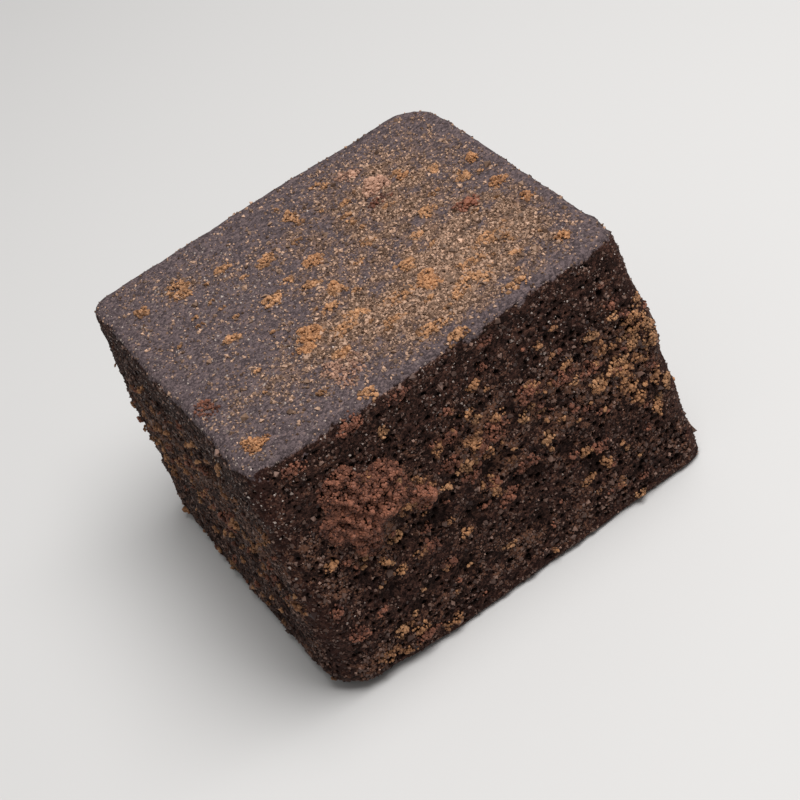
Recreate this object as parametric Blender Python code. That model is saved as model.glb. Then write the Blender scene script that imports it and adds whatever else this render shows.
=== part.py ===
"""Jaggery block: one cast block of dark, porous raw cane sugar, lying on its flat base.

The front is -Y, up is +Z, and the origin is at the middle of the base. All sizes are in metres.
"""

import bpy
import bmesh
import math
from mathutils import Vector, noise

# Driving dimensions of the block. It narrows upwards, as it came out of a tapered mould.
BASE_WIDTH = 0.0500
BASE_DEPTH = 0.0450
HEIGHT = 0.0335
TOP_WIDTH = 0.0460
TOP_DEPTH = 0.0411

# Radii of the upright edges, and of the level edges round the top and the base.
UPRIGHT_EDGE = 0.0024
TOP_EDGE = 0.0010
BASE_EDGE = 0.0010

# Corners worn rounder than the rest: side signs (x, y, z), reach from the corner, and how much
# the radii of the upright edge and of the level edges beside it grow.
WORN_CORNERS = (
    ((1, 1, 1), 0.014, 0.0032, 0.0002),
    ((-1, -1, -1), 0.017, 0.0024, 0.0026),
    ((1, -1, 1), 0.010, 0.0008, 0.0003),
    ((-1, 1, -1), 0.012, 0.0010, 0.0006),
)

# Gentle swells and hollows of the cast faces, and the coarse pitting of the porous sides.
SWELL = 0.00030
SWELL_SPACING = 0.014
PITTING = 0.00030
PIT_SPACING = 0.0024
SMOOTH_BAND = 0.0035

# Crumb clumps that stand proud and knocks that go in: centre, radius, height.
CLUMPS = (
    ((-0.0135, -0.0215, 0.0215), 0.0044, 0.0007),
    ((-0.0070, -0.0213, 0.0190), 0.0019, 0.0005),
    ((0.0232, -0.0200, 0.0200), 0.0024, 0.0005),
    ((-0.0240, 0.0040, 0.0090), 0.0040, -0.0007),
    ((-0.0220, -0.0200, 0.0325), 0.0026, -0.0004),
    ((0.0130, 0.0220, 0.0060), 0.0045, -0.0006),
)

# Grid of the surface: cells along each axis, and how strongly they crowd towards the edges.
CELLS = (36, 33, 25)
EDGE_CROWDING = 0.60

# Relief fades out over this height above the base, and anything this close to it is flat.
BASE_FADE = 0.0050
FLAT_BASE_MARGIN = 0.00002


def smooth_step(value):
    """Ease from 0 to 1 as value goes from 0 to 1."""
    t = min(max(value, 0.0), 1.0)
    return t * t * (3.0 - 2.0 * t)


def cube_grid():
    """A closed cube from -1 to 1, divided into cells that get finer towards its edges."""
    bm = bmesh.new()
    bmesh.ops.create_cube(bm, size=2.0)
    for axis, cells in enumerate(CELLS):
        along = []
        for edge in bm.edges:
            step = edge.verts[1].co - edge.verts[0].co
            if abs(step[axis]) > 1.0:
                along.append(edge)
        bmesh.ops.subdivide_edges(bm, edges=along, cuts=cells - 1, use_grid_fill=True)
    for vert in bm.verts:
        for axis in range(3):
            even = vert.co[axis]
            crowded = math.sin(even * math.pi / 2.0)
            vert.co[axis] = even + (crowded - even) * EDGE_CROWDING
    return bm


def worn_edges(place):
    """Radius of the upright and of the level edges near a point of the unit cube."""
    upright = UPRIGHT_EDGE
    level = TOP_EDGE if place.z > 0.0 else BASE_EDGE
    half = Vector((BASE_WIDTH, BASE_DEPTH, HEIGHT)) / 2.0
    for signs, reach, upright_wear, level_wear in WORN_CORNERS:
        gap = Vector((
            (place.x - signs[0]) * half.x,
            (place.y - signs[1]) * half.y,
            (place.z - signs[2]) * half.z,
        ))
        near = smooth_step(1.0 - gap.length / reach)
        upright += upright_wear * near
        level += level_wear * near
    return upright, level


def rounded_box(place):
    """Move a point of the unit cube onto the rounded, drafted block."""
    half = Vector((BASE_WIDTH, BASE_DEPTH, HEIGHT)) / 2.0
    upright, level = worn_edges(place)
    x = place.x * half.x
    y = place.y * half.y
    core_x = min(max(x, upright - half.x), half.x - upright)
    core_y = min(max(y, upright - half.y), half.y - upright)
    away = Vector(((x - core_x) / upright, (y - core_y) / upright))
    share = max(abs(away.x), abs(away.y))
    away = away.normalized() if share > 0.0 else away
    reach = max(1.0 - upright * (1.0 - share) / level, 0.0)
    rise = max((abs(place.z) * half.z - half.z + level) / level, 0.0)
    bend = Vector((reach, rise))
    if reach > 0.0 and rise > 0.0:
        bend.normalize()
    out = upright * share + level * (bend.x - reach)
    lift = abs(place.z) * half.z + level * (bend.y - rise)
    spot = Vector((core_x + away.x * out, core_y + away.y * out, half.z))
    spot.z += math.copysign(lift, place.z)
    climb = spot.z / HEIGHT
    spot.x *= 1.0 + (TOP_WIDTH / BASE_WIDTH - 1.0) * climb
    spot.y *= 1.0 + (TOP_DEPTH / BASE_DEPTH - 1.0) * climb
    return spot


def surface_relief(spot, normal):
    """Height of the uneven surface over the plain block at one point."""
    height = SWELL * noise.noise(spot / SWELL_SPACING)
    side = 1.0 - smooth_step(abs(normal.z) * 1.6)
    below_rim = smooth_step((HEIGHT - SMOOTH_BAND - spot.z) / 0.003)
    pits = noise.noise(spot / PIT_SPACING + Vector((7.0, 3.0, 5.0)))
    height += PITTING * pits * side * (0.35 + 0.65 * below_rim)
    for centre, radius, rise in CLUMPS:
        gap = (spot - Vector(centre)).length
        height += rise * smooth_step(1.0 - gap / (1.6 * radius))
    return height


def trim_to_size(bm):
    """Bring the outline exactly to its width, depth and height, centred over the origin."""
    size = (BASE_WIDTH, BASE_DEPTH, HEIGHT)
    for axis in range(3):
        low = min(vert.co[axis] for vert in bm.verts)
        high = max(vert.co[axis] for vert in bm.verts)
        start = 0.0 if axis == 2 else -size[axis] / 2.0
        for vert in bm.verts:
            vert.co[axis] = start + (vert.co[axis] - low) / (high - low) * size[axis]


def flatten_base(bm):
    """Join the underside into one flat face."""
    for vert in bm.verts:
        if vert.co.z < FLAT_BASE_MARGIN:
            vert.co.z = 0.0
    under = [face for face in bm.faces if all(vert.co.z == 0.0 for vert in face.verts)]
    bmesh.ops.dissolve_faces(bm, faces=under, use_verts=True)


def sugar_material():
    """Dark brown, slightly shiny raw sugar."""
    material = bpy.data.materials.new("dark_jaggery")
    material.use_nodes = True
    shader = material.node_tree.nodes["Principled BSDF"]
    shader.inputs["Base Color"].default_value = (0.050, 0.026, 0.018, 1.0)
    shader.inputs["Roughness"].default_value = 0.55
    shader.inputs["Metallic"].default_value = 0.0
    material.diffuse_color = (0.050, 0.026, 0.018, 1.0)
    return material


def jaggery_block():
    """The whole block as one closed solid."""
    bm = cube_grid()
    for vert in bm.verts:
        vert.co = rounded_box(vert.co)
    bm.normal_update()
    moved = []
    for vert in bm.verts:
        above_base = smooth_step(vert.co.z / BASE_FADE)
        lift = surface_relief(vert.co, vert.normal) * above_base
        moved.append(vert.co + vert.normal * lift)
    for vert, place in zip(bm.verts, moved):
        vert.co = place
    trim_to_size(bm)
    flatten_base(bm)
    bmesh.ops.recalc_face_normals(bm, faces=bm.faces)
    mesh = bpy.data.meshes.new("jaggery_block")
    bm.to_mesh(mesh)
    bm.free()
    mesh.shade_smooth()
    mesh.materials.append(sugar_material())
    block = bpy.data.objects.new("jaggery_block", mesh)
    bpy.context.scene.collection.objects.link(block)
    return block


for old in list(bpy.data.objects):
    bpy.data.objects.remove(old, do_unlink=True)

jaggery_block()
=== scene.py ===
import math
import random

import bmesh
import bpy
import numpy as np
from mathutils import Euler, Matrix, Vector, noise
from mathutils.bvhtree import BVHTree


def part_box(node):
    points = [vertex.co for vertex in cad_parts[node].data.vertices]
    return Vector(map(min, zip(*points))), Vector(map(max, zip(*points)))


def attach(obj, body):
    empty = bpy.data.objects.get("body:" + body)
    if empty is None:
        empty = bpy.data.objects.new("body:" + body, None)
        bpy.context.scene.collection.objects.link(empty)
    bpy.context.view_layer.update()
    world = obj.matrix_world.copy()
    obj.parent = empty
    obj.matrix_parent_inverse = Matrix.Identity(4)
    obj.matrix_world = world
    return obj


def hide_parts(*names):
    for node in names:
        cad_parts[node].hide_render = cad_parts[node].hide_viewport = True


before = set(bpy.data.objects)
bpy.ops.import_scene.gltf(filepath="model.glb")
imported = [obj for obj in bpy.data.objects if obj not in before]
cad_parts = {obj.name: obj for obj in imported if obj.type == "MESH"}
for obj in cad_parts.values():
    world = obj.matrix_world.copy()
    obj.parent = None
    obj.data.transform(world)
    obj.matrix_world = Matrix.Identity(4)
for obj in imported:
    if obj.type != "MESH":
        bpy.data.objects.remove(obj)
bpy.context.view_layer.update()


# The view: the block is seen from above its porous front side, a little from the left. It is
# held at a slant, as it lies propped on others, so the camera is rolled and not the block.
mm = 0.001
view_centre = Vector((0.1, -1.3, 14.1)) * mm
view_turn = math.radians(-16.5)
view_height = math.radians(40.0)
view_distance = 201.8 * mm
view_roll = math.radians(-23.3)

camera_data = bpy.data.cameras.new("camera")
camera_data.lens = 80.0
camera_data.sensor_width = 36.0
camera_data.clip_start = 10 * mm
camera_data.clip_end = 20.0
camera = bpy.data.objects.new("camera", camera_data)
bpy.context.scene.collection.objects.link(camera)
towards_camera = Vector((
    math.sin(view_turn) * math.cos(view_height),
    -math.cos(view_turn) * math.cos(view_height),
    math.sin(view_height),
))
camera.location = view_centre + towards_camera * view_distance
camera.rotation_mode = "QUATERNION"
level = (-towards_camera).to_track_quat("-Z", "Y")
camera.rotation_quaternion = level @ Euler((0.0, 0.0, view_roll)).to_quaternion()
bpy.context.scene.camera = camera


# The studio: a pale floor, an even pale surround, and one large soft lamp that hangs above and
# a little to the right, so that the top is about twice as bright as the sides.
lamp_place = Vector((0.10, -0.08, 0.43))
lamp_width = 0.30
lamp_power = 2.4
floor_radius = 1.6

bpy.context.scene.view_settings.view_transform = "Standard"
surround = bpy.data.worlds.new("surround")
bpy.context.scene.world = surround
surround.use_nodes = True
surround_shader = surround.node_tree.nodes["Background"]
surround_shader.inputs["Color"].default_value = (1.0, 1.0, 1.0, 1.0)
surround_shader.inputs["Strength"].default_value = 0.29

lamp_data = bpy.data.lights.new("lamp_above", "AREA")
lamp_data.shape = "SQUARE"
lamp_data.size = lamp_width
lamp_data.energy = lamp_power
lamp = bpy.data.objects.new("lamp_above", lamp_data)
lamp.location = lamp_place
lamp.rotation_euler = (view_centre - lamp_place).to_track_quat("-Z", "Y").to_euler()
bpy.context.scene.collection.objects.link(lamp)

bm = bmesh.new()
bmesh.ops.create_circle(bm, cap_ends=True, segments=96, radius=floor_radius)
floor_mesh = bpy.data.meshes.new("floor")
bm.to_mesh(floor_mesh)
bm.free()
floor = bpy.data.objects.new("floor", floor_mesh)
bpy.context.scene.collection.objects.link(floor)
floor_finish = bpy.data.materials.new("pale_floor")
floor_finish.use_nodes = True
floor_shader = floor_finish.node_tree.nodes["Principled BSDF"]
floor_shader.inputs["Base Color"].default_value = (0.62, 0.61, 0.60, 1.0)
floor_shader.inputs["Roughness"].default_value = 0.9
floor_mesh.materials.append(floor_finish)


# The block: raw cane sugar boiled dark, frothed, poured in a tapered mould and turned out. Its
# top set to a smooth skin, its sides broke open as a foam of round pores, and its corners and
# edges wore round in the pack. It is one closed body, with every pore sunk into it.
low, high = (Vector(corner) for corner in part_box("jaggery_block"))
block_size = high - low
block_width, block_depth, block_height = block_size
top_width = 46.0 * mm
top_depth = 41.1 * mm
upright_edge = 2.4 * mm
top_edge = 1.0 * mm
base_edge = 1.0 * mm
swell = 0.30 * mm
swell_spacing = 14 * mm
base_fade = 5 * mm

# Corners worn rounder than the rest: side signs (x, y, z), reach from the corner, and how much
# the radii of the upright edge and of the level edges beside it grow.
worn_corners = (
    ((1, 1, 1), 14 * mm, 3.2 * mm, 0.2 * mm),
    ((-1, -1, -1), 17 * mm, 2.4 * mm, 2.6 * mm),
    ((1, -1, 1), 10 * mm, 0.8 * mm, 0.3 * mm),
    ((-1, 1, -1), 12 * mm, 1.0 * mm, 0.6 * mm),
)

# Clumps that stand proud and knocks that go in: centre, radius and height, in mm.
clumps = (
    ((-13.5, -21.5, 21.5), 4.4, 0.7),
    ((-7.0, -21.3, 19.0), 1.9, 0.5),
    ((23.2, -20.0, 20.0), 2.4, 0.5),
    ((-24.0, 4.0, 9.0), 4.0, -0.7),
    ((-22.0, -20.0, 32.5), 2.6, -0.4),
    ((13.0, 22.0, 6.0), 4.5, -0.6),
)
clump_spread = 1.6

# Hollows where lumps of the foam broke out: centre, radius and depth, in mm. Those of the front
# come first, and each side has a dozen more at random.
rng = random.Random(7)
broken_out = [
    ((0.3, -21.5, 16.8), 1.8, 0.9), ((-15.0, -21.8, 10.8), 1.4, 0.7), ((-7.5, -21.5, 15.6), 2.2, 0.6),
    ((17.5, -21.2, 20.8), 1.2, 0.6), ((-3.0, -21.7, 13.0), 1.6, 0.6), ((12.0, -21.9, 9.5), 1.3, 0.5),
    ((3.5, -22.0, 6.5), 1.3, 0.5), ((-11.0, -22.0, 8.0), 1.3, 0.5), ((7.0, -21.3, 18.6), 1.1, 0.5),
    ((-17.0, -21.7, 14.5), 1.4, 0.5), ((-11.5, -21.7, 15.5), 1.6, 0.6), ((9.0, -21.5, 13.0), 1.2, 0.5),
]
for side_x, side_y in ((0.0, -21.8), (0.0, 21.8), (-24.0, 0.0), (24.0, 0.0)):
    for _ in range(12):
        along = rng.uniform(-18.0, 18.0)
        flat_place = (along, side_y) if side_x == 0.0 else (side_x, along)
        broken_out.append(((*flat_place, rng.uniform(4.0, 27.0)), rng.uniform(0.9, 1.8), 0.55))


def smooth_step(value):
    """Ease from 0 to 1 as value goes from 0 to 1."""
    t = min(max(value, 0.0), 1.0)
    return t * t * (3.0 - 2.0 * t)


def rounded_box(place):
    """Move a point of the unit cube onto the rounded block, which narrows upwards."""
    half = block_size / 2.0
    upright = upright_edge
    level = top_edge if place.z > 0.0 else base_edge
    for signs, reach, upright_wear, level_wear in worn_corners:
        gap = Vector((place[axis] - signs[axis]) * half[axis] for axis in range(3))
        near = smooth_step(1.0 - gap.length / reach)
        upright += upright_wear * near
        level += level_wear * near
    x, y = place.x * half.x, place.y * half.y
    core_x = min(max(x, upright - half.x), half.x - upright)
    core_y = min(max(y, upright - half.y), half.y - upright)
    away = Vector(((x - core_x) / upright, (y - core_y) / upright))
    share = max(abs(away.x), abs(away.y))
    away = away.normalized() if share > 0.0 else away
    reach = max(1.0 - upright * (1.0 - share) / level, 0.0)
    rise = max((abs(place.z) * half.z - half.z + level) / level, 0.0)
    bend = Vector((reach, rise))
    if reach > 0.0 and rise > 0.0:
        bend.normalize()
    out = upright * share + level * (bend.x - reach)
    lift = abs(place.z) * half.z + level * (bend.y - rise)
    spot = Vector((core_x + away.x * out, core_y + away.y * out, half.z))
    spot.z += math.copysign(lift, place.z)
    climb = spot.z / block_height
    spot.x *= 1.0 + (top_width / block_width - 1.0) * climb
    spot.y *= 1.0 + (top_depth / block_depth - 1.0) * climb
    return spot


def cast_relief(spot):
    """Height in metres of the swells, clumps, knocks and hollows over the plain block."""
    height = swell * noise.noise(spot / swell_spacing)
    for centre, radius, rise in clumps:
        gap = (spot / mm - Vector(centre)).length
        height += rise * mm * smooth_step(1.0 - gap / (clump_spread * radius))
    for centre, radius, depth in broken_out:
        gap = (spot / mm - Vector(centre)).length
        height -= depth * mm * smooth_step(1.4 - gap / radius)
    return height * smooth_step(spot.z / base_fade)


def from_upright_edge(spot):
    """Distance in mm from a point of a side to the nearest upright edge."""
    half_width = (block_width + (top_width - block_width) * spot.z / block_height) / 2.0
    half_depth = (block_depth + (top_depth - block_depth) * spot.z / block_height) / 2.0
    return max(half_width - abs(spot.x), half_depth - abs(spot.y)) / mm


# The body starts as a cube from -1 to 1, cut into cells about a millimetre wide. Until the end
# each face keeps the number of its side as its material index. The inner points of the grid are
# moved about, and every other row is shifted, so that the pores don't stand in line.
cells = (48, 43, 32)
edge_crowding = 0.30
row_shift = 0.25
jitter = 0.30
wander = 1.3
on_face = 0.999
inner_limit = 0.995
LEFT, RIGHT, FRONT, BACK, BASE, TOP = range(6)

bm = bmesh.new()
bmesh.ops.create_cube(bm, size=2.0)
for face in bm.faces:
    for axis in range(3):
        if abs(face.normal[axis]) > 0.5:
            face.material_index = 2 * axis + (1 if face.normal[axis] > 0 else 0)
for axis in range(3):
    along = [e for e in bm.edges if abs(e.verts[1].co[axis] - e.verts[0].co[axis]) > 1.0]
    bmesh.ops.subdivide_edges(bm, edges=along, cuts=cells[axis] - 1, use_grid_fill=True)
for vert in bm.verts:
    row = round((vert.co.z + 1.0) / 2.0 * cells[2])
    shift = row_shift if row % 2 else -row_shift
    drift = Vector(noise.noise(vert.co * 5.0 + Vector((9.0 * axis, 4.0, 2.0))) for axis in range(3))
    for axis in range(3):
        even = vert.co[axis]
        if abs(even) < on_face:
            step = rng.uniform(-jitter, jitter) + wander * drift[axis] * (1.0 - even * even)
            if axis < 2 and abs(vert.co.z) < on_face:
                step += shift
            even = min(max(even + step * 2.0 / cells[axis], -inner_limit), inner_limit)
        vert.co[axis] = even + (math.sin(even * math.pi / 2.0) - even) * edge_crowding
for vert in bm.verts:
    vert.co = rounded_box(vert.co)
bm.normal_update()
lifts = [vert.normal * cast_relief(vert.co) for vert in bm.verts]
for vert, lift in zip(bm.verts, lifts):
    vert.co += lift

# The top is cut finer, as its skin is seen close.
top_edges = [e for e in bm.edges if any(face.material_index == TOP for face in e.link_faces)]
bmesh.ops.subdivide_edges(bm, edges=top_edges, cuts=1, use_grid_fill=True)

# Pores are sunk at points of the sides' grid. A cross over each cell gives such a point eight
# edges. A bevel opens it as an eight-sided mouth, and insets take that down to a cup.
hollow_layer = bm.verts.layers.float.new("hollow")
side_faces = [face for face in bm.faces if face.material_index < BASE and len(face.verts) == 4]
grid_points = {vert for face in side_faces for vert in face.verts}
bmesh.ops.poke(bm, faces=side_faces)
bm.normal_update()
smallest_pore = 0.11
largest_pore = 0.46
pore_sizes = (0.13, 0.17, 0.21, 0.26, 0.32, 0.41)
deep_pore = 0.2
room_to_pore = 0.44
room_to_cell = 0.80


def pore_radius(spot):
    """Radius of the pore at a point of a side in mm, or 0 where the sugar is solid.

    The foam is coarse in the middle of a side and fine towards its edges.
    """
    below_top = (block_height - spot.z) / mm
    zone = noise.noise(spot / (6 * mm) + Vector((3.0, 1.0, 8.0)))
    foam = smooth_step((below_top - 1.5) / 3.5) * smooth_step((from_upright_edge(spot) - 1.2) / 2.0)
    foam *= smooth_step((spot.z / mm - 0.8) / 1.2)
    for centre, reach, rise in clumps:
        if rise > 0.0 and (spot / mm - Vector(centre)).length < 1.2 * reach:
            return 0.0
    chance = (0.30 + 0.58 * foam) * (0.89 + 0.6 * zone)
    if rng.random() > chance:
        return 0.0
    usual = 0.19 + 0.17 * foam
    radius = usual * math.exp(rng.gauss(0.0, 0.36)) * (1.0 + 0.35 * zone)
    return min(max(radius, smallest_pore), largest_pore)


def fixed_order(vert):
    """A sorting key by place, so that each run draws the same pores."""
    return tuple(round(value, 6) for value in vert.co)


sorted_pores = {size: [] for size in pore_sizes}
for vert in sorted(grid_points, key=fixed_order):
    wanted = pore_radius(vert.co) if len(vert.link_edges) == 8 else 0.0
    for edge in vert.link_edges:
        room = room_to_pore if edge.other_vert(vert) in grid_points else room_to_cell
        wanted = min(wanted, room * edge.calc_length() / mm)
    fitting = [size for size in pore_sizes if size <= wanted * 1.12]
    if fitting:
        sorted_pores[fitting[-1]].append(vert)
for size, centres in sorted_pores.items():
    cut = bmesh.ops.bevel(
        bm, geom=centres, offset=size * mm, offset_type="OFFSET", affect="VERTICES",
        segments=1, profile=0.5, material=-1, clamp_overlap=False,
    )
    mouths = [face for face in cut["faces"] if len(face.verts) == 8]
    bm.normal_update()
    bmesh.ops.inset_individual(
        bm, faces=mouths, thickness=0.16 * size * mm, depth=-0.30 * size * mm,
        use_even_offset=False, use_interpolate=True,
    )
    if size > deep_pore:
        bmesh.ops.inset_individual(
            bm, faces=mouths, thickness=0.22 * size * mm, depth=-1.30 * size * mm,
            use_even_offset=False, use_interpolate=True,
        )
    else:
        for face in mouths:
            for vert in face.verts:
                vert.co -= face.normal * 0.6 * size * mm
    # The floor of each pore is marked as hollow, so the finish paints it near black as shade.
    for face in mouths:
        for vert in face.verts:
            vert[hollow_layer] = 1.0

# The broken surface is rough at four spacings, and the skin of the top is smoother. The flat
# base isn't touched, and the whole is brought back to the frame's size at the end.
skin_roughness = 0.30
rough_base_fade = 0.8 * mm
bm.normal_update()
pushes = []
for vert in bm.verts:
    spot = vert.co / mm
    rough = noise.noise(spot / 0.45) * 0.080 + noise.noise(spot / 0.21) * 0.045
    rough += noise.noise(spot / 0.9) * 0.20 + noise.noise(spot / 2.4) * 0.22
    if spot.z > block_height / mm - 2.0 and vert.normal.z > 0.5:
        rough *= skin_roughness
    pushes.append(vert.normal * rough * mm * smooth_step(vert.co.z / rough_base_fade))
for vert, push in zip(bm.verts, pushes):
    vert.co += push
for axis in range(3):
    least = min(vert.co[axis] for vert in bm.verts)
    most = max(vert.co[axis] for vert in bm.verts)
    for vert in bm.verts:
        share = (vert.co[axis] - least) / (most - least)
        vert.co[axis] = low[axis] + share * block_size[axis]
bm.normal_update()


# Four numbers are stored on the mesh for its finish: how much of the smooth skin covers a point,
# how much dust clings there, how much of a painted ruddy glow it gets near the edges and foot, as of
# light shining through thin sugar, and how far it is sunk in a hollow, pore or dip of the rough
# surface, which keeps dust away and is painted dark there as shade. Each drift of dust on the top
# has its middle and its reach along x and y in mm, and its thickness.
drifts = (
    (6.0, -12.5, 13.0, 6.0, 0.66),
    (13.0, -7.0, 10.0, 6.0, 0.45),
    (-5.0, -8.5, 5.0, 3.5, 0.40),
    (5.0, 2.0, 13.0, 9.0, 0.22),
    (12.0, 10.0, 9.0, 8.0, 0.27),
    (-13.0, -10.0, 8.0, 6.0, 0.08),
    (-13.0, 12.5, 4.0, 3.0, 0.15),
)
belt_height = 19.0
foot_height = 6.0
skin_depth = 2.4 * mm


def top_dust(x, y):
    """How thickly sugar dust lies at a point of the top, from 0 to 1; x and y in mm."""
    dust = 0.10 + 0.10 * noise.noise(Vector((x / 7.0, y / 7.0, 2.0)))
    for centre_x, centre_y, reach_x, reach_y, weight in drifts:
        away = math.hypot((x - centre_x) / reach_x, (y - centre_y) / reach_y)
        dust += weight * math.exp(-1.4 * away * away)
    patch = noise.noise(Vector((x / 1.9, y / 1.9, 5.0)))
    patch += noise.noise(Vector((x / 0.9, y / 0.6, 9.0)))
    rim = smooth_step((top_depth / mm / 2.0 - 0.2 - abs(y)) / 1.8)
    rim *= smooth_step((top_width / mm / 2.0 - 0.2 - abs(x)) / 2.2)
    return min(max(dust * (1.0 + 0.9 * patch) * (0.25 + 0.75 * rim), 0.0), 1.0)


def side_dust(spot):
    """How thickly tan dust and crumbs cling at a point of a side, from 0 to 1."""
    height = spot.z / mm
    belt = math.exp(-((height - belt_height) / 5.0) ** 2) * 0.60 + 0.16
    belt += 0.20 * math.exp(-((height - foot_height) / 4.0) ** 2)
    patch = noise.noise(spot / (3.4 * mm) + Vector((2.0, 7.0, 1.0)))
    small = noise.noise(spot / (1.1 * mm) + Vector((6.0, 0.0, 3.0)))
    return min(max(belt * (1.0 + 1.5 * patch + 0.8 * small), 0.0), 1.0)


skin_layer = bm.verts.layers.float.new("skin")
dust_layer = bm.verts.layers.float.new("dust")
painted_edge_glow_layer = bm.verts.layers.float.new("painted_edge_glow")
for vert in bm.verts:
    spot = vert.co
    ragged = 0.45 * noise.noise(spot / (2.2 * mm)) + 0.20 * noise.noise(spot / (0.7 * mm))
    skin = smooth_step((0.9 * vert.normal.z + ragged - 0.30) / 0.30)
    skin *= smooth_step((spot.z - (block_height - skin_depth)) / (0.8 * mm))
    vert[skin_layer] = skin
    # Broken-out dents and the dips of the rough sides are marked hollow too: painted shade, near
    # black.
    gap = min((spot / mm - Vector(centre)).length / radius for centre, radius, depth in broken_out)
    lump = noise.noise(spot / (0.9 * mm))
    sunk = max(0.85 * smooth_step(1.3 - gap), 0.60 * smooth_step(-2.4 * lump - 0.1) * (1.0 - skin))
    vert[hollow_layer] = max(vert[hollow_layer], sunk)
    dust = top_dust(spot.x / mm, spot.y / mm)
    if skin < 0.5:
        near_edge = 1.0 - smooth_step(from_upright_edge(spot) / 4.0)
        dust = side_dust(spot) * max(1.0 + 1.6 * lump, 0.0) * (1.0 - 0.4 * near_edge)
    vert[dust_layer] = dust * (1.0 - 0.85 * vert[hollow_layer])
    # Painted glow: near the upright edges and the foot the sides are tinted ruddy, as light shining
    # through thin sugar.
    edge = smooth_step(1.0 - (from_upright_edge(spot) - 0.6) / 2.2)
    foot = smooth_step(1.0 - spot.z / (2.4 * mm))
    vert[painted_edge_glow_layer] = max(edge, foot) * (1.0 - skin)

# The map for the block's finish: each of its six sides is laid out flat, at one scale.
map_layer = bm.loops.layers.uv.new("OFBake")
sheet = 104.0 * mm
sheet_margin = 0.004
sheet_share = 0.985
place_of = {
    FRONT: (0.25, 0.35), BACK: (0.75, 0.35), LEFT: (0.235, 0.68), RIGHT: (0.735, 0.68),
    TOP: (0.24, 0.0), BASE: (0.74, 0.0),
}
for face in bm.faces:
    side = face.material_index
    for loop in face.loops:
        x, y, z = loop.vert.co
        across, up = (x, y) if side in (BASE, TOP) else ((x, z) if side in (FRONT, BACK) else (y, z))
        flip = -1.0 if side in (BACK, LEFT, BASE) else 1.0
        middle, bottom = place_of[side]
        rise = up + block_depth / 2.0 if side in (BASE, TOP) else up
        place = Vector((middle + flip * across / sheet, bottom + rise / sheet)) * sheet_share
        loop[map_layer].uv = place + Vector((sheet_margin, sheet_margin))
    face.material_index = 0

body_mesh = bpy.data.meshes.new("jaggery_body")
bm.to_mesh(body_mesh)
bm.free()
body_mesh.shade_smooth()
body = bpy.data.objects.new("jaggery_body", body_mesh)
bpy.context.scene.collection.objects.link(body)
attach(body, "root")
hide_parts("jaggery_block")


def put(tree, kind, values=None, **settings):
    """Add a shader node; a value is a plain setting, or a socket to link from."""
    node = tree.nodes.new("ShaderNode" + kind)
    for name, value in settings.items():
        setattr(node, name, value)
    for name, value in (values or {}).items():
        if isinstance(value, bpy.types.NodeSocket):
            tree.links.new(value, node.inputs[name])
        else:
            node.inputs[name].default_value = value
    return node


def mixed(tree, share, first, second):
    """A colour between two others, by a share from 0 to 1."""
    return put(tree, "Mix", {0: share, 6: first, 7: second}, data_type="RGBA").outputs[2]


def eased(tree, value, start, end, least=0.0, most=1.0):
    """A number eased from least to most as the value goes from start to end."""
    values = {"Value": value, "From Min": start, "From Max": end, "To Min": least, "To Max": most}
    return put(tree, "MapRange", values, interpolation_type="SMOOTHSTEP").outputs["Result"]


def reckon(tree, operation, first, second):
    """The sum, difference or product of two numbers."""
    return put(tree, "Math", {0: first, 1: second}, operation=operation).outputs[0]


def attribute(tree, name):
    """A number stored on the mesh."""
    return put(tree, "Attribute", attribute_name=name).outputs["Fac"]


# Sugar grain: small crystals, each of its own tone and with finer ones between them.
grain_group = bpy.data.node_groups.new("sugar_grain", "ShaderNodeTree")
for name, direction in (("Grain per mm", "INPUT"), ("Tone", "OUTPUT"), ("Height", "OUTPUT")):
    grain_group.interface.new_socket(name=name, in_out=direction, socket_type="NodeSocketFloat")
grain_in = grain_group.nodes.new("NodeGroupInput")
grain_out = grain_group.nodes.new("NodeGroupOutput")
where = put(grain_group, "TexCoord").outputs["Object"]
in_mm = put(grain_group, "VectorMath", {0: where, "Scale": 1.0 / mm}, operation="SCALE").outputs[0]
cloud = put(grain_group, "TexNoise", {"Vector": in_mm, "Scale": 1.9, "Detail": 2.0})
crystal = put(grain_group, "TexVoronoi", {"Vector": in_mm, "Scale": grain_in.outputs[0]})
finer = reckon(grain_group, "MULTIPLY", grain_in.outputs[0], 2.3)
fine = put(grain_group, "TexVoronoi", {"Vector": in_mm, "Scale": finer})
crystal_tone = put(grain_group, "SeparateColor", {0: crystal.outputs["Color"]}).outputs[0]
fine_tone = put(grain_group, "SeparateColor", {0: fine.outputs["Color"]}).outputs[0]
cloud_part = reckon(grain_group, "MULTIPLY", cloud.outputs[0], 0.26)
crystal_part = reckon(grain_group, "MULTIPLY", crystal_tone, 0.42)
fine_part = reckon(grain_group, "MULTIPLY", fine_tone, 0.32)
tone = reckon(grain_group, "ADD", reckon(grain_group, "ADD", crystal_part, cloud_part), fine_part)
fine_dip = reckon(grain_group, "MULTIPLY", fine.outputs["Distance"], 0.5)
bulge = reckon(grain_group, "SUBTRACT", 1.0, crystal.outputs["Distance"])
bulge = reckon(grain_group, "SUBTRACT", bulge, fine_dip)
grain_group.links.new(tone, grain_out.inputs["Tone"])
grain_group.links.new(bulge, grain_out.inputs["Height"])
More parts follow.
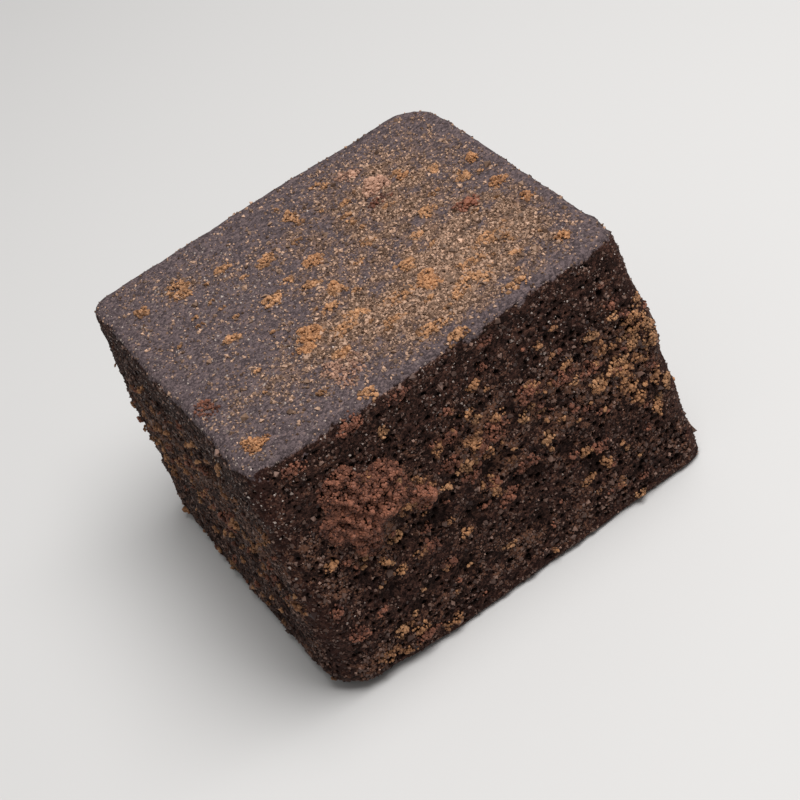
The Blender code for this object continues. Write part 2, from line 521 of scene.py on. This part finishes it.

# The block's finish: dark broken sugar on the sides, tan where crumbs and dust cling, and a greyer
# skin on the top with golden dust ground into it. Painted light is in it too: a ruddy glow near the
# edges and the foot, as of light shining through the thin sugar, part of the skin's grey as a painted
# sheen, and near-black painted shade in the pores and hollows.
sugar = bpy.data.materials.new("dark_jaggery")
sugar.use_nodes = True
tree = sugar.node_tree
shader = tree.nodes["Principled BSDF"]
skin = attribute(tree, "skin")
dust = attribute(tree, "dust")
painted_edge_glow = attribute(tree, "painted_edge_glow")
hollow = attribute(tree, "hollow")
grain = put(tree, "Group", node_tree=grain_group)
grain.inputs["Grain per mm"].default_value = 3.4
tone = grain.outputs["Tone"]
grain_height = 0.14 * mm
side_dark = (0.009, 0.0032, 0.0022, 1.0)
side_light = (0.074, 0.032, 0.023, 1.0)
side_painted_glow = (0.042, 0.015, 0.011, 1.0)
side_tan = (0.200, 0.094, 0.056, 1.0)
# The skin's grey is partly its own purple-grey and partly a painted sheen of the soft light above.
skin_and_sheen_dark = (0.046, 0.034, 0.036, 1.0)
skin_and_sheen_light = (0.152, 0.112, 0.114, 1.0)
dusty_dark = (0.062, 0.034, 0.021, 1.0)
dusty_light = (0.190, 0.112, 0.074, 1.0)
skin_tan = (0.300, 0.175, 0.115, 1.0)
painted_pore_shade = (0.005, 0.0018, 0.0012, 1.0)
side_colour = mixed(tree, eased(tree, tone, 0.28, 0.80), side_dark, side_light)
# The ruddy tint near the edges and foot is painted light shining through the sugar.
side_colour = mixed(tree, reckon(tree, "MULTIPLY", painted_edge_glow, 0.60), side_colour, side_painted_glow)
skin_colour = mixed(tree, eased(tree, tone, 0.20, 0.85), skin_and_sheen_dark, skin_and_sheen_light)
dusty_colour = mixed(tree, eased(tree, tone, 0.20, 0.85), dusty_dark, dusty_light)
skin_colour = mixed(tree, eased(tree, dust, 0.12, 0.60), skin_colour, dusty_colour)
dusty_tone = reckon(tree, "ADD", tone, reckon(tree, "MULTIPLY", dust, 0.42))
dusted = eased(tree, dusty_tone, 0.72, 1.00)
side_colour = mixed(tree, reckon(tree, "MULTIPLY", dusted, 0.70), side_colour, side_tan)
skin_colour = mixed(tree, reckon(tree, "MULTIPLY", dusted, 0.65), skin_colour, skin_tan)
ragged_skin = reckon(tree, "ADD", skin, reckon(tree, "MULTIPLY", tone, 0.5))
border = eased(tree, ragged_skin, 0.58, 0.90)
colour = mixed(tree, border, side_colour, skin_colour)
# Painted shade: pores, dents and dips are darkened to near black, on top of the shadow they cast.
colour = mixed(tree, reckon(tree, "MULTIPLY", hollow, 0.92), colour, painted_pore_shade)
tree.links.new(colour, shader.inputs["Base Color"])
dull = eased(tree, tone, 0.2, 0.9, 0.92, 0.66)
tree.links.new(dull, shader.inputs["Roughness"])
shader.inputs["Specular IOR Level"].default_value = 0.12
bump_values = {"Height": grain.outputs["Height"], "Strength": 0.8, "Distance": grain_height}
bump = put(tree, "Bump", bump_values)
tree.links.new(bump.outputs[0], shader.inputs["Normal"])
body_mesh.materials.append(sugar)


# Side grit: broken grains of the block's own sugar, which the foam of the sides left standing.
# They are half sunk in the sides, thicker where dust clings, and few lie in a hollow.
def crystal_shape(round_grain):
    """Corner places and faces of one grain, 1 across: 8 faces, or 20 for a round one."""
    shape = bmesh.new()
    if round_grain:
        bmesh.ops.create_icosphere(shape, subdivisions=1, radius=0.5)
    else:
        bmesh.ops.create_uvsphere(shape, u_segments=4, v_segments=2, radius=0.5)
    corners = np.array([vert.co[:] for vert in shape.verts])
    faces = [[vert.index for vert in face.verts] for face in shape.faces]
    shape.free()
    return corners, faces


def crumb_finish(name, dark, light, roughness=0.6):
    """A dry sugar finish between two colours, by the tone of each grain."""
    finish = bpy.data.materials.new(name)
    finish.use_nodes = True
    tree = finish.node_tree
    shader = tree.nodes["Principled BSDF"]
    tree.links.new(mixed(tree, attribute(tree, "tone"), dark, light), shader.inputs["Base Color"])
    shader.inputs["Roughness"].default_value = roughness
    shader.inputs["Specular IOR Level"].default_value = 0.3
    return finish


def strew(name, shape, finish, places, normals, widths, tones, seed, sink=0.4):
    """Join a copy of one crystal at every place into one piece, with a tone for each copy.

    Each copy is turned and stretched at random, and sunk by a share of its width.
    """
    corners, faces = shape
    draw = np.random.default_rng(seed)
    count = len(places)
    turn = draw.normal(size=(count, 4))
    turn /= np.linalg.norm(turn, axis=1, keepdims=True)
    w, x, y, z = turn.T
    spins = np.stack([
        1 - 2 * (y * y + z * z), 2 * (x * y - z * w), 2 * (x * z + y * w),
        2 * (x * y + z * w), 1 - 2 * (x * x + z * z), 2 * (y * z - x * w),
        2 * (x * z - y * w), 2 * (y * z + x * w), 1 - 2 * (x * x + y * y),
    ], axis=1).reshape(count, 3, 3)
    stretch = draw.uniform(0.6, 1.4, (count, 1, 3))
    local = corners[None] * stretch * widths[:, None, None]
    placed = np.einsum("nij,nkj->nki", spins, local)
    placed += (places + normals * (widths * (0.5 - sink))[:, None])[:, None]
    placed[:, :, 2] = np.maximum(placed[:, :, 2], floor_gap)
    mesh = bpy.data.meshes.new(name)
    size = len(corners)
    joined = [[i + size * n for i in face] for n in range(count) for face in faces]
    mesh.from_pydata(placed.reshape(-1, 3), [], joined)
    layer = mesh.attributes.new("tone", "FLOAT", "POINT")
    layer.data.foreach_set("value", np.repeat(tones, size).astype(np.float32))
    columns = math.ceil(math.sqrt(count))
    order = np.arange(count)
    middle = np.stack([order % columns + 0.5, order // columns + 0.5], axis=1) / columns
    flat = middle[:, None] + corners[None, :, :2] * 0.8 / columns
    ring = np.empty(len(mesh.loops), np.int32)
    mesh.loops.foreach_get("vertex_index", ring)
    flat_map = mesh.uv_layers.new(name="OFBake")
    flat_map.data.foreach_set("uv", flat.reshape(-1, 2)[ring].ravel())
    piece = bpy.data.objects.new(name, mesh)
    bpy.context.scene.collection.objects.link(piece)
    mesh.materials.append(finish)
    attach(piece, "root")
    return piece


floor_gap = 0.02 * mm
body_mesh.calc_loop_triangles()
corner_ids = np.empty(len(body_mesh.loop_triangles) * 3, np.int32)
body_mesh.loop_triangles.foreach_get("vertices", corner_ids)
corner_ids = corner_ids.reshape(-1, 3)
points = np.empty(len(body_mesh.vertices) * 3)
body_mesh.vertices.foreach_get("co", points)
points = points.reshape(-1, 3)


def stored(name):
    """A number stored on the block's mesh, averaged over each triangle."""
    values = np.empty(len(points))
    body_mesh.attributes[name].data.foreach_get("value", values)
    return values[corner_ids].mean(axis=1)


# The pores leave the faces in an order that changes from run to run, so the triangles are put in
# order of place, and each run strews its grains over the same ones.
by_place = np.lexsort(points[corner_ids].reshape(-1, 9).T)
corner_ids = corner_ids[by_place]
threes = points[corner_ids]
crossed = np.cross(threes[:, 1] - threes[:, 0], threes[:, 2] - threes[:, 0])
areas = np.linalg.norm(crossed, axis=1) / 2.0
outward = crossed / np.maximum(2.0 * areas[:, None], 1e-15)
heights = threes[:, :, 2].mean(axis=1)
dust_there, skin_there, hollow_there = stored("dust"), stored("skin"), stored("hollow")


def scatter(weight, count, seed):
    """Random places on the block, drawn by area and weight, with direction and dustiness."""
    draw = np.random.default_rng(seed)
    chance = areas * weight
    chosen = draw.choice(len(areas), size=count, p=chance / chance.sum())
    a, b = np.sqrt(draw.random((count, 1))), draw.random((count, 1))
    three = threes[chosen]
    places = (1 - a) * three[:, 0] + a * (1 - b) * three[:, 1] + a * b * three[:, 2]
    return places, outward[chosen], dust_there[chosen]


grit_count = 24000
grit_crystal = crystal_shape(round_grain=False)
grit_finish = crumb_finish("broken_sugar", (0.017, 0.0056, 0.0042, 1.0), (0.36, 0.215, 0.162, 1.0))
draw = np.random.default_rng(11)
on_sides = (skin_there < 0.5) * (1.0 - hollow_there) ** 2 * (heights > 0.3 * mm)
places, normals, dusty = scatter(on_sides * (0.45 + dust_there), grit_count, 22)
widths = np.exp(draw.normal(-1.22, 0.40, grit_count)) * mm
tones = draw.beta(0.8, 3.6, grit_count) + 0.30 * dusty * draw.random(grit_count)
tones = np.clip(tones, 0.0, 1.0)
strew("side_grit", grit_crystal, grit_finish, places, normals, widths, tones, 32, sink=0.62)


# Top dust: fine golden sugar rubbed off the blocks, which lies loose on the top in a slanting
# drift. Each grain is an angular crystal about a quarter of a millimetre wide.
dust_count = 17000
dust_finish = crumb_finish("golden_dust", (0.072, 0.039, 0.024, 1.0), (0.60, 0.380, 0.260, 1.0))
on_top = (skin_there > 0.5) * (dust_there ** 1.6 + 0.010)
places, normals, dusty = scatter(on_top, dust_count, 21)
widths = np.exp(draw.normal(-1.38, 0.36, dust_count)) * mm
tones = draw.beta(1.0, 1.5, dust_count)
strew("top_dust", grit_crystal, dust_finish, places, normals, widths, tones, 31)


# Pale crystals: single clear grains of sugar that glint on the bare skin of the top and on the
# upper part of the sides, well sunk in.
pale_count = 2800
pale_finish = crumb_finish("pale_sugar", (0.14, 0.10, 0.085, 1.0), (0.50, 0.41, 0.36, 1.0), 0.4)
pale_weight = (skin_there > 0.5) * (0.3 + 1.5 * (threes[:, :, 0].mean(axis=1) < -6 * mm))
pale_weight += (skin_there < 0.5) * (hollow_there < 0.1) * (0.2 + 1.8 * (heights > 23 * mm))
places, normals, dusty = scatter(pale_weight, pale_count, 23)
widths = np.exp(draw.normal(-1.45, 0.25, pale_count)) * mm
tones = draw.beta(1.3, 2.2, pale_count)
strew("pale_crystals", grit_crystal, pale_finish, places, normals, widths, tones, 33, sink=0.60)


# Crumbs: ragged heaps of fine grains stuck to the block, rubbed off other blocks of paler sugar.
# The large rust-brown patch, the belt of crumbs on the front and the golden and orange ones on
# the top are set one by one, and small ones are strewn at random. Each colour is one piece.
crumb_crystal = crystal_shape(round_grain=True)
surface = BVHTree.FromPolygons(
    [vert.co for vert in body_mesh.vertices], [face.vertices[:] for face in body_mesh.polygons]
)
ray_height = 60.0
faced = {
    "top": (Vector((1, 0, 0)), Vector((0, 1, 0))),
    "front": (Vector((1, 0, 0)), Vector((0, 0, 1))),
    "back": (Vector((-1, 0, 0)), Vector((0, 0, 1))),
    "left": (Vector((0, -1, 0)), Vector((0, 0, 1))),
    "right": (Vector((0, 1, 0)), Vector((0, 0, 1))),
}
heaps = {kind: [] for kind in ("golden", "orange", "rust", "pale")}
lump_spacing = 0.9
pebble_share = 0.14


def crumb(kind, side, across, up, width, tall, pile, packing, tone):
    """Heap grains on a side as one ragged crumb, with some bigger pebbles; sizes in mm.

    The pile is its height in the middle, and the packing is how many grains a square mm holds.
    """
    along, upwards = faced[side]
    out = along.cross(upwards)
    key = across * 3.1 + up * 1.7
    for _ in range(int(packing * width * tall * 0.785) + 5):
        angle = draw.uniform(0.0, 2.0 * math.pi)
        share = math.sqrt(draw.random())
        ragged = noise.noise(Vector((1.4 * math.cos(angle), 1.4 * math.sin(angle), key)))
        reach = 0.5 * share * (1.0 + 0.8 * ragged)
        start = along * (across + width * reach * math.cos(angle))
        start += upwards * (up + tall * reach * math.sin(angle)) + out * ray_height
        hit, normal = surface.ray_cast(start * mm, -out)[:2]
        if hit is None or hit.z < 0.4 * mm:
            continue
        lumpy = 0.6 + noise.noise(start / lump_spacing)
        lift = pile * (1.0 - share * share) * max(lumpy, 0.1)
        grain = math.exp(draw.normal(-1.35, 0.25))
        if draw.random() < pebble_share and width > 1.2:
            grain = draw.uniform(0.42, 0.64)
            lift -= 0.38 * grain
        # Grains that lie low, in the dips between lumps and towards the heap's edge, get a darker
        # tone: painted shade in the crevices.
        tone_with_painted_shade = tone + 0.5 * (lumpy - 0.6) - 0.15 * share
        heaps[kind].append((hit + out * lift * mm, out + normal * 0.5, tone_with_painted_shade, grain * mm))


# The crumbs set one by one: how far across and up the side, width and height, in mm.
for across, up, width, tall in (
    (-14.0, 12.8, 2.6, 3.4), (-19.0, 13.3, 1.8, 1.8), (-4.5, 8.5, 2.4, 1.6), (1.0, 13.0, 1.3, 2.8),
    (-13.7, -0.2, 2.0, 1.3), (-7.7, 1.6, 2.2, 2.0), (-3.5, 0.3, 2.6, 1.6), (-2.0, -2.8, 2.0, 2.2),
    (4.6, 1.4, 2.0, 1.8), (11.8, 0.2, 2.2, 2.2), (17.9, 1.8, 1.9, 2.0), (16.5, 6.0, 1.6, 1.4),
    (5.3, -5.7, 2.4, 1.9), (-4.0, -5.0, 2.0, 1.4), (-4.6, -9.0, 3.0, 2.2), (-2.6, -8.4, 2.4, 1.6),
    (8.6, -2.6, 1.8, 1.2),
    (8.5, -14.0, 5.4, 2.6), (2.3, -9.8, 4.0, 2.0), (13.5, -9.6, 4.6, 2.0), (10.0, -11.5, 3.6, 1.8),
    (1.5, -17.0, 4.4, 1.8), (2.8, -19.8, 2.4, 1.4), (-8.0, -19.6, 2.2, 1.2), (11.0, -18.4, 3.2, 1.4),
    (-0.5, -12.5, 2.6, 1.4), (6.6, 9.8, 1.4, 1.4), (-8.8, 12.0, 1.8, 1.4),
):
    crumb("golden", "top", across, up, width, tall, pile=0.35,
          packing=13.0 if width > 3.0 else 26.0, tone=draw.uniform(0.45, 0.75))
for across, up, width, tall in (
    (-1.2, 3.9, 2.4, 1.9), (-7.6, -6.8, 3.2, 2.8), (-8.8, -8.4, 2.6, 2.0), (5.6, -10.2, 2.9, 2.8),
    (19.7, -2.4, 1.9, 1.6), (20.3, 3.6, 1.3, 2.0), (20.3, -7.2, 1.5, 1.5), (18.6, -16.2, 1.8, 1.5),
    (-20.0, -16.8, 2.3, 2.2), (-6.6, -12.5, 1.5, 1.2), (13.5, 8.0, 1.5, 1.2), (-2.0, -2.2, 1.4, 1.0),
):
    crumb("orange", "top", across, up, width, tall,
          pile=0.70, packing=36.0, tone=draw.uniform(0.60, 0.90))
crumb("rust", "top", 15.4, -2.6, 2.6, 2.2, pile=0.60, packing=28.0, tone=0.85)
crumb("rust", "top", 9.3, 6.6, 3.0, 1.4, pile=0.30, packing=18.0, tone=0.35)
crumb("rust", "top", -21.0, -7.5, 2.4, 3.2, pile=0.15, packing=14.0, tone=0.50)
crumb("pale", "top", 10.3, 9.3, 3.4, 3.6, pile=1.60, packing=60.0, tone=0.80)
crumb("pale", "top", 9.6, 14.2, 2.6, 2.4, pile=0.45, packing=24.0, tone=0.60)
crumb("pale", "top", -8.3, -14.5, 3.8, 4.4, pile=0.20, packing=20.0, tone=0.50)

crumb("rust", "front", -14.2, 22.5, 10.8, 11.0, pile=1.10, packing=40.0, tone=0.56)
crumb("rust", "front", -7.4, 19.2, 3.0, 3.2, pile=1.10, packing=48.0, tone=0.66)
for across, up, width, tall in (
    (-2.5, 23.3, 3.0, 1.8), (-3.4, 20.3, 2.8, 1.8), (0.3, 20.3, 2.0, 2.4), (2.6, 20.8, 2.6, 2.8),
    (7.3, 22.3, 3.0, 2.6), (11.3, 21.6, 2.8, 2.4), (14.6, 20.3, 2.4, 2.0), (-1.8, 17.6, 2.4, 1.8),
    (4.2, 14.4, 2.6, 1.6), (1.0, 12.0, 2.6, 1.8), (-13.6, 2.8, 3.4, 1.3), (-20.2, 8.4, 2.6, 2.0),
    (-9.0, 12.5, 2.0, 1.6), (-8.0, 9.2, 2.0, 1.4), (12.5, 10.3, 2.0, 1.6), (-11.5, 32.0, 3.4, 1.6),
    (-5.6, 31.8, 3.0, 1.4), (-18.6, 31.4, 2.6, 1.4), (5.0, 31.2, 2.0, 1.0), (-21.2, 12.8, 1.6, 2.0),
):
    crumb("rust", "front", across, up, width, tall,
          pile=0.55, packing=20.0, tone=draw.uniform(0.35, 0.70))
for across, up, width, tall in (
    (-4.0, 23.0, 1.6, 1.4), (7.8, 23.2, 1.8, 1.2), (-18.2, 3.2, 2.6, 1.6), (-10.5, 1.8, 2.4, 1.2),
    (18.2, 15.6, 2.4, 2.2), (19.0, 13.3, 2.2, 1.3), (15.0, 17.5, 2.2, 1.6), (-13.0, 12.4, 1.6, 1.2),
    (-19.5, 18.3, 1.8, 1.2), (10.8, 11.0, 1.6, 1.2), (-12.5, 25.5, 2.2, 1.2), (21.5, 14.5, 1.6, 1.8),
    (-0.3, 21.0, 1.8, 1.8), (3.0, 22.3, 1.8, 1.4), (12.3, 22.6, 1.8, 1.4), (-14.0, 4.0, 2.2, 1.2),
    (-16.0, 2.2, 2.4, 1.2), (16.8, 21.2, 2.0, 1.4), (20.8, 17.6, 2.0, 1.8), (-5.0, 11.4, 1.4, 1.2),
    (21.2, 22.2, 1.8, 2.6), (20.6, 10.4, 1.6, 1.8), (18.4, 17.4, 2.2, 1.4),
):
    crumb("orange", "front", across, up, width, tall,
          pile=0.50, packing=20.0, tone=draw.uniform(0.40, 0.70))
for across, up, width, tall in (
    (22.4, 19.6, 2.0, 4.4), (22.8, 12.6, 1.4, 2.0), (22.4, 24.0, 1.2, 1.6), (-8.7, 29.0, 1.3, 1.4),
    (-15.8, 5.0, 2.2, 1.6), (17.8, 18.6, 3.0, 1.8),
    (14.8, 18.2, 2.2, 1.4), (20.2, 20.4, 2.0, 1.8), (7.3, 15.6, 1.6, 1.6), (19.0, 24.5, 1.6, 1.0),
    (15.5, 24.0, 1.6, 1.0), (5.8, 20.0, 1.4, 1.4), (-1.0, 6.0, 1.6, 0.9), (15.2, 1.2, 1.6, 1.2),
):
    crumb("golden", "front", across, up, width, tall,
          pile=0.45, packing=18.0, tone=draw.uniform(0.35, 0.65))

# The small crumbs strewn over the sides and the top.
crumbs_a_side = 170
crumbs_on_top = 110
for side, half in (("front", 22.0), ("back", 22.0), ("left", 20.0), ("right", 20.0)):
    for _ in range(crumbs_a_side):
        across = draw.uniform(-18.0 if side == "front" else -half, half)
        up = draw.normal(18.0, 4.0) if draw.random() < 0.60 else draw.uniform(1.5, 29.0)
        width = math.exp(draw.normal(-0.15, 0.40))
        kind = draw.choice(["golden", "orange", "orange", "rust", "rust"])
        crumb(kind, side, across, min(up, 30.0), width, width * draw.uniform(0.5, 0.9),
              pile=0.40, packing=18.0, tone=draw.uniform(0.25, 0.65))
for _ in range(crumbs_on_top):
    across, up = draw.uniform(-19.0, 20.0), draw.uniform(-17.0, 16.0)
    if draw.random() < 0.25 + 1.2 * top_dust(across, up):
        width = draw.uniform(0.4, 1.3)
        crumb("golden", "top", across, up, width * 1.3, width * 0.8,
              pile=0.25, packing=16.0, tone=draw.uniform(0.2, 0.7))

for kind, dark, light in (
    ("golden", (0.130, 0.060, 0.026, 1.0), (0.54, 0.280, 0.138, 1.0)),
    ("orange", (0.105, 0.042, 0.019, 1.0), (0.48, 0.235, 0.108, 1.0)),
    ("rust", (0.043, 0.0135, 0.0085, 1.0), (0.28, 0.107, 0.062, 1.0)),
    ("pale", (0.120, 0.056, 0.038, 1.0), (0.52, 0.300, 0.205, 1.0)),
):
    places = np.array([heap[0] for heap in heaps[kind]])
    normals = np.array([heap[1].normalized() for heap in heaps[kind]])
    tones = np.array([heap[2] for heap in heaps[kind]])
    tones = np.clip(tones + draw.normal(0.0, 0.25, len(tones)), 0.0, 1.0)
    widths = np.array([heap[3] for heap in heaps[kind]])
    finish = crumb_finish(kind + "_sugar", dark, light)
    strew(kind + "_crumbs", crumb_crystal, finish, places, normals, widths, tones, 40 + len(kind))
